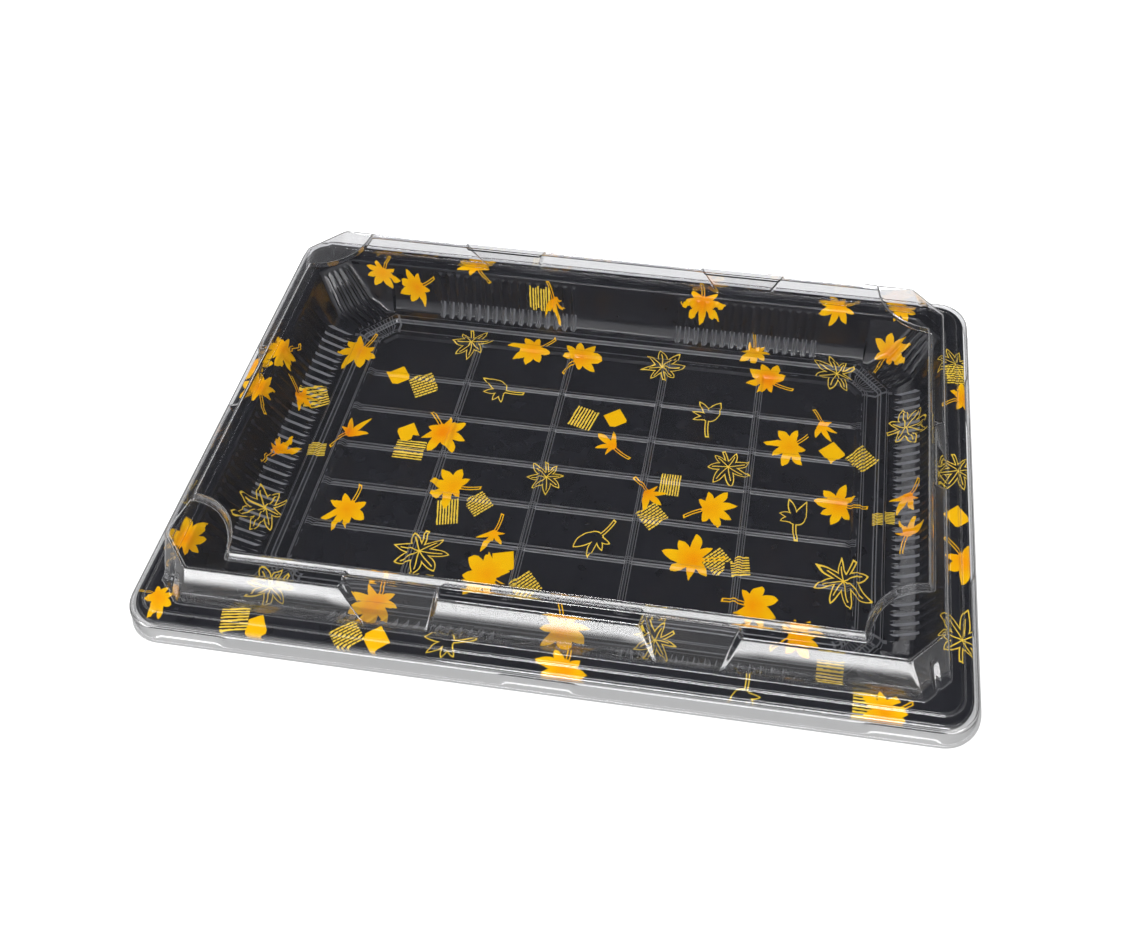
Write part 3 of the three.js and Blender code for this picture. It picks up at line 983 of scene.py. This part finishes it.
def lid_levels():
    """((x, y, cut, z), style) of each level from the flat top's edge to the lip."""
    top = [
        (150.0, 89.0, 22.0, 57.1),
        (156.5, 95.5, 25.0, 57.1),
        (159.0, 96.8, 26.0, 51.6),
        (164.2, 100.9, 24.0, 50.9),
    ]
    dome = [
        (162.0, 99.6, 15.0, 50.8),
        (165.3, 102.0, 15.5, SHOULDER_Z),
        (171.6, 108.3, 10.5, DOME_FOOT_Z),
        (176.4, 112.6, 9.6, DOME_FOOT_Z),
    ]
    skirt = [
        (174.0, 110.0, 9.0, DOME_FOOT_Z),
        (177.4, 112.9, 9.2, DOME_FOOT_Z),
        (178.0, 113.5, 9.6, DOME_FOOT_Z - 0.7),
        (182.6, 118.1, 13.0, DOME_FOOT_Z - 0.7),
        (183.9, 119.4, 14.2, DOME_FOOT_Z - 2.6),
        (184.3, 119.8, 14.6, 22.0),
        (184.9, 120.4, 15.2, 18.0),
        (185.6, 121.1, 16.0, 14.3),
        (187.0, 122.5, 17.4, 13.6),
    ]
    top = rounded_profile(top, (0, 1.1, 0.9, 0), 4)[:-1]
    dome = rounded_profile(dome, (0, 1.2, 1.0, 0), 4)[1:-1]
    skirt = rounded_profile(skirt, (0, 0.4, 0.4, 1.2, 1.0, 0, 0, 0.7, 0))[1:]
    wall = []
    for low, high in zip(dome, dome[1:] + dome[-1:]):
        is_long = low[3] - high[3] > 10
        shares = np.linspace(0, 1, 8)[:-1] if is_long else [0.0]
        wall += [low * (1 - share) + high * share for share in shares]
    styles = (top, SCOOPED), (wall, STRAIGHT), (skirt, ROUNDED)
    return [(level, style) for levels, style in styles for level in levels]


def across(count):
    """Flat strips that close an oval ring: each joins two of its points to the two opposite them
    over the X axis."""
    quarter = (count + 4) // 4
    half = 2 * quarter - 1
    right = [(i, half - 1 - i) for i in range(quarter)]
    left = [(-i % count, half - 1 + i) for i in range(quarter)]
    faces = []
    for pairs, flip in ((right, False), (left, True)):
        for (a, b), (c, d) in zip(pairs[:-1], pairs[1:]):
            face = [a, b, d, c] if c != d else [a, b, c]
            faces.append(tuple(face[::-1] if flip else face))
    return faces


def dent_depth(z, along, places, ends):
    """How deep a side of the skirt is dented at one height, at these places along it."""
    high = smoothstep(*DENT_Z[:2], z) * (1 - smoothstep(*DENT_Z[2:], z))
    return sum(DENT * high * (1 - smoothstep(*ends, np.abs(along - place))) for place in places)


def lid_ring(layout, level, style, pressed, notched):
    """The points of one level of the lid, with its sides pressed in."""
    hx, hy, cut, z = level
    long_x, _, short_y, _ = lid_side(z)
    flat = whole(layout.quarter(hx, hy, cut, style, 2.6 if style == SCOOPED else 2.4, long_x, short_y))
    inwards = -np.sign(flat)
    inwards_on_sides = inwards * (np.abs(np.abs(flat) - (hx, hy)) < 0.4)
    moved = flat.copy()
    if style == STRAIGHT:
        height = np.clip((z - DOME_FOOT_Z) / (SHOULDER_Z - DOME_FOOT_Z), 0.0, 1.0)
        moved += inwards_on_sides * (PANEL_DEPTH * height * pressed)[:, None]
        rise = smoothstep(DOME_FOOT_Z - 0.5, DOME_FOOT_Z + 2.0, z)
        fade = smoothstep(DOME_FOOT_Z + 19.0, DOME_FOOT_Z + 12.0, z)
        moved += inwards * (NOTCH * notched * fade * rise / math.sqrt(2))[:, None]
    if z < DOME_FOOT_Z - 2.0:
        dents_x = dent_depth(z, flat[:, 1], SHORT_DENTS, SHORT_DENT_ENDS)
        dents_y = dent_depth(z, flat[:, 0], LONG_DENTS, LONG_DENT_ENDS)
        moved += inwards_on_sides * np.column_stack([dents_x, dents_y])
    return np.column_stack([moved, np.full(len(flat), z)])


def lid_object():
    xs, press_x, ys, press_y = lid_side(SHOULDER_Z)
    facet = np.linspace(0.05, 0.95, CORNER_POINTS)
    layout = Layout(xs, ys, np.linspace(0.05, 0.97, 15), facet, [-1.4, -0.7, 0.0, 0.7, 1.4])
    off_middle = np.abs(np.linspace(-1, 1, CORNER_POINTS)) * 2.2
    pressed = whole_values(layout.values(press_x, 0.0, np.zeros(CORNER_POINTS), press_y))
    notch = smoothstep(0.7, 0.2, off_middle)
    notched = whole_values(layout.values(0 * press_x, 0.0, notch, 0 * press_y))
    rings = [lid_ring(layout, level, style, pressed, notched) for level, style in lid_levels()]
    edge = rings[0]
    oval = 1.0 / np.hypot(edge[:, 0] / TOP_OVAL[0], edge[:, 1] / TOP_OVAL[1])
    rings.insert(0, edge * np.column_stack([oval, oval, np.ones(len(edge))]))
    faces = loft_faces(0, len(edge), len(rings)) + across(len(edge))
    return mesh_object("lid_shell", np.concatenate(rings), faces, 60)


# ---- The object ----


def thicken(obj, thickness, group=None, under=0):
    """Gives a sheet its thickness below or inside its surface, with crisp narrow edges. under is
    the material slot of the other side."""
    modifier = obj.modifiers.new("sheet", "SOLIDIFY")
    modifier.thickness = thickness * MM
    modifier.offset = -1.0
    if group:
        modifier.vertex_group = group
    modifier.material_offset = under
    modifier.material_offset_rim = under
    crisp = obj.modifiers.new("crisp", "WEIGHTED_NORMAL")
    crisp.mode = "FACE_AREA"
    crisp.weight = 60
    crisp.keep_sharp = True


tray = tray_object()
stamp(tray)
tray.data.materials.append(tray_material(printed=True))
tray.data.materials.append(tray_material(printed=False))
thicken(tray, TRAY_SHEET, "sheet", 1)
lid = lid_object()
lid.data.materials.append(lid_material())
thicken(lid, LID_SHEET)

for piece, node, slot in ((tray, "tray", "tray_plastic"), (lid, "lid", "lid_plastic")):
    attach(piece, "root")
    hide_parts(node)

# ---- Stage ----


# The floor's light: seen straight, in mirrors and through the lid behind the tray's front. In
# mirrors it glows in a zone this far in front of the lid's lip, as a lit table does.
FLOOR_HALF = 6.0
FLOOR_TONE = (0.25, 0.25, 0.25, 1)
FLOOR_LIGHT, FLOOR_SEEN, FLOOR_MIRRORED, FLOOR_GLOW = 0.3, 0.66, -0.18, 5.2
GLOW_START, GLOW_END = (0.032, 0.040), (0.056, 0.068)
LIP_Y = 0.1225
THROUGH_LID, THROUGH_LID_Y = 0.6, (-0.10, 0.12)

# The sky: dim round the direction that the flat plastic mirrors to the camera.
DIM_WAY = (-0.068, 0.552, 0.831)
SKY_SEEN = 1.25


def floor_material():
    g = Graph(bpy.data.materials.new("pale_floor"))
    paths = g.node("ShaderNodeLightPath").outputs
    in_mirror = g.math("GREATER_THAN", paths["Glossy Depth"], 0.5)
    bounced = g.either(in_mirror, g.math("GREATER_THAN", paths["Diffuse Depth"], 0.5))
    _, y, _ = g.split(g.place())
    away = g.minus(g.times(y, -1.0), LIP_Y)
    zone = g.both(g.ease(away, *GLOW_START, 0.0, 1.0), g.ease(away, *GLOW_END, 1.0, 0.0))
    light = g.scaled(in_mirror, FLOOR_MIRRORED, FLOOR_LIGHT)
    light = g.scaled(g.both(zone, in_mirror), FLOOR_GLOW, light)
    behind = g.map_range(y, *THROUGH_LID_Y, 0.0, THROUGH_LID)
    light = g.scaled(g.minus(1.0, bounced), behind, light)
    light = g.scaled(paths["Is Camera Ray"], FLOOR_SEEN, light)
    glow = g.fed("ShaderNodeEmission", {"Color": (1, 1, 1, 1), "Strength": light})
    matte = g.fed("ShaderNodeBsdfDiffuse", {"Color": FLOOR_TONE})
    return g.surface(g.value("ShaderNodeAddShader", glow, matte))


def floor_stage():
    corners = [(x * FLOOR_HALF, y * FLOOR_HALF, 0) for x, y in ((-1, -1), (1, -1), (1, 1), (-1, 1))]
    mesh = bpy.data.meshes.new("floor")
    mesh.from_pydata(corners, [], [(0, 1, 2, 3)])
    mesh.materials.append(floor_material())
    link("floor", mesh)


def sky():
    """A pale studio: dim where flat plastic mirrors it, with a bright band on either side and in
    front that draws the thin lights along the edges."""
    world = bpy.data.worlds.new("studio")
    bpy.context.scene.world = world
    world.cycles.sampling_method = "NONE"
    g = Graph(world, "ShaderNodeOutputWorld")
    way = g.node("ShaderNodeTexCoord").outputs["Generated"]
    paths = g.node("ShaderNodeLightPath").outputs
    diffuse = paths["Is Diffuse Ray"]
    dot = g.node("ShaderNodeVectorMath", operation="DOT_PRODUCT")
    g.feed(dot.inputs[0], way)
    dot.inputs[1].default_value = DIM_WAY
    level = g.ease(dot.outputs["Value"], 0.45, 0.80, 0.62, 0.045)
    level = g.both(level, g.scaled(diffuse, 0.5, 0.5))
    x, y, z = g.split(way)
    low = g.both(g.ease(z, 0.48, 0.54, 0.0, 1.0), g.ease(z, 0.60, 0.68, 1.0, 0.0))
    left, right = g.ease(x, -0.62, -0.42, 3.0, 0.0), g.ease(x, 0.48, 0.66, 0.0, 1.5)
    front = g.both(g.ease(y, -0.75, -0.35, 1.8, 0.0), g.map_range(z, 0.40, 0.50, 0.0, 1.0))
    band = g.math("ADD", g.both(low, g.math("ADD", left, right)), front)
    level = g.scaled(band, g.minus(1.0, diffuse), level)
    level = g.value("ShaderNodeMix", paths["Is Camera Ray"], None, level, SKY_SEEN)
    g.surface(g.fed("ShaderNodeBackground", {"Strength": level}))


def softbox(name, place, width, height, power, mirrored):
    """A soft light that points at the tray. mirrored says whether glossy plastic shows it."""
    light = bpy.data.lights.new(name, "AREA")
    light.shape = "RECTANGLE"
    light.size, light.size_y = width, height
    light.energy = power
    obj = link(name, light)
    obj.location = place
    obj.rotation_euler = (-Vector(place)).to_track_quat("-Z", "Y").to_euler()
    obj.visible_camera = False
    obj.visible_glossy = mirrored
    obj.visible_transmission = mirrored


def camera():
    """The photo's view: from the front, a little to the right, and from high up."""
    data = bpy.data.cameras.new("camera")
    data.sensor_width = 36.0
    data.lens = 30.47
    data.shift_x = -0.1054
    data.clip_start = 0.01
    obj = link("camera", data)
    pitch, yaw, roll = 0.9814, 0.1230, 0.0145
    back = Vector((math.sin(yaw) * math.cos(pitch), -math.cos(yaw) * math.cos(pitch), math.sin(pitch)))
    right = (-back).cross(Vector((0, 0, 1))).normalized()
    up = right.cross(-back).normalized()
    turned_right = math.cos(roll) * right + math.sin(roll) * up
    turned_up = math.cos(roll) * up - math.sin(roll) * right
    turn = Matrix((turned_right, turned_up, back)).transposed().to_4x4()
    turn.translation = Vector((0.07983, -0.26057, 0.40585))
    obj.matrix_world = turn
    bpy.context.scene.camera = obj


floor_stage()
sky()
softbox("soft_front", (0.1, -1.2, 1.5), 1.4, 0.5, 22, mirrored=True)
softbox("soft_left", (-1.60, 1.20, 1.00), 1.5, 0.40, 24, mirrored=False)
softbox("soft_right", (1.75, 1.00, 0.95), 1.3, 0.20, 10, mirrored=False)
softbox("soft_back", (-0.1, 1.9, 0.55), 1.8, 0.14, 7, mirrored=True)
camera()
bpy.context.scene.view_settings.view_transform = "Standard"


def plain(box):
    return [list(map(float, corner)) for corner in box]
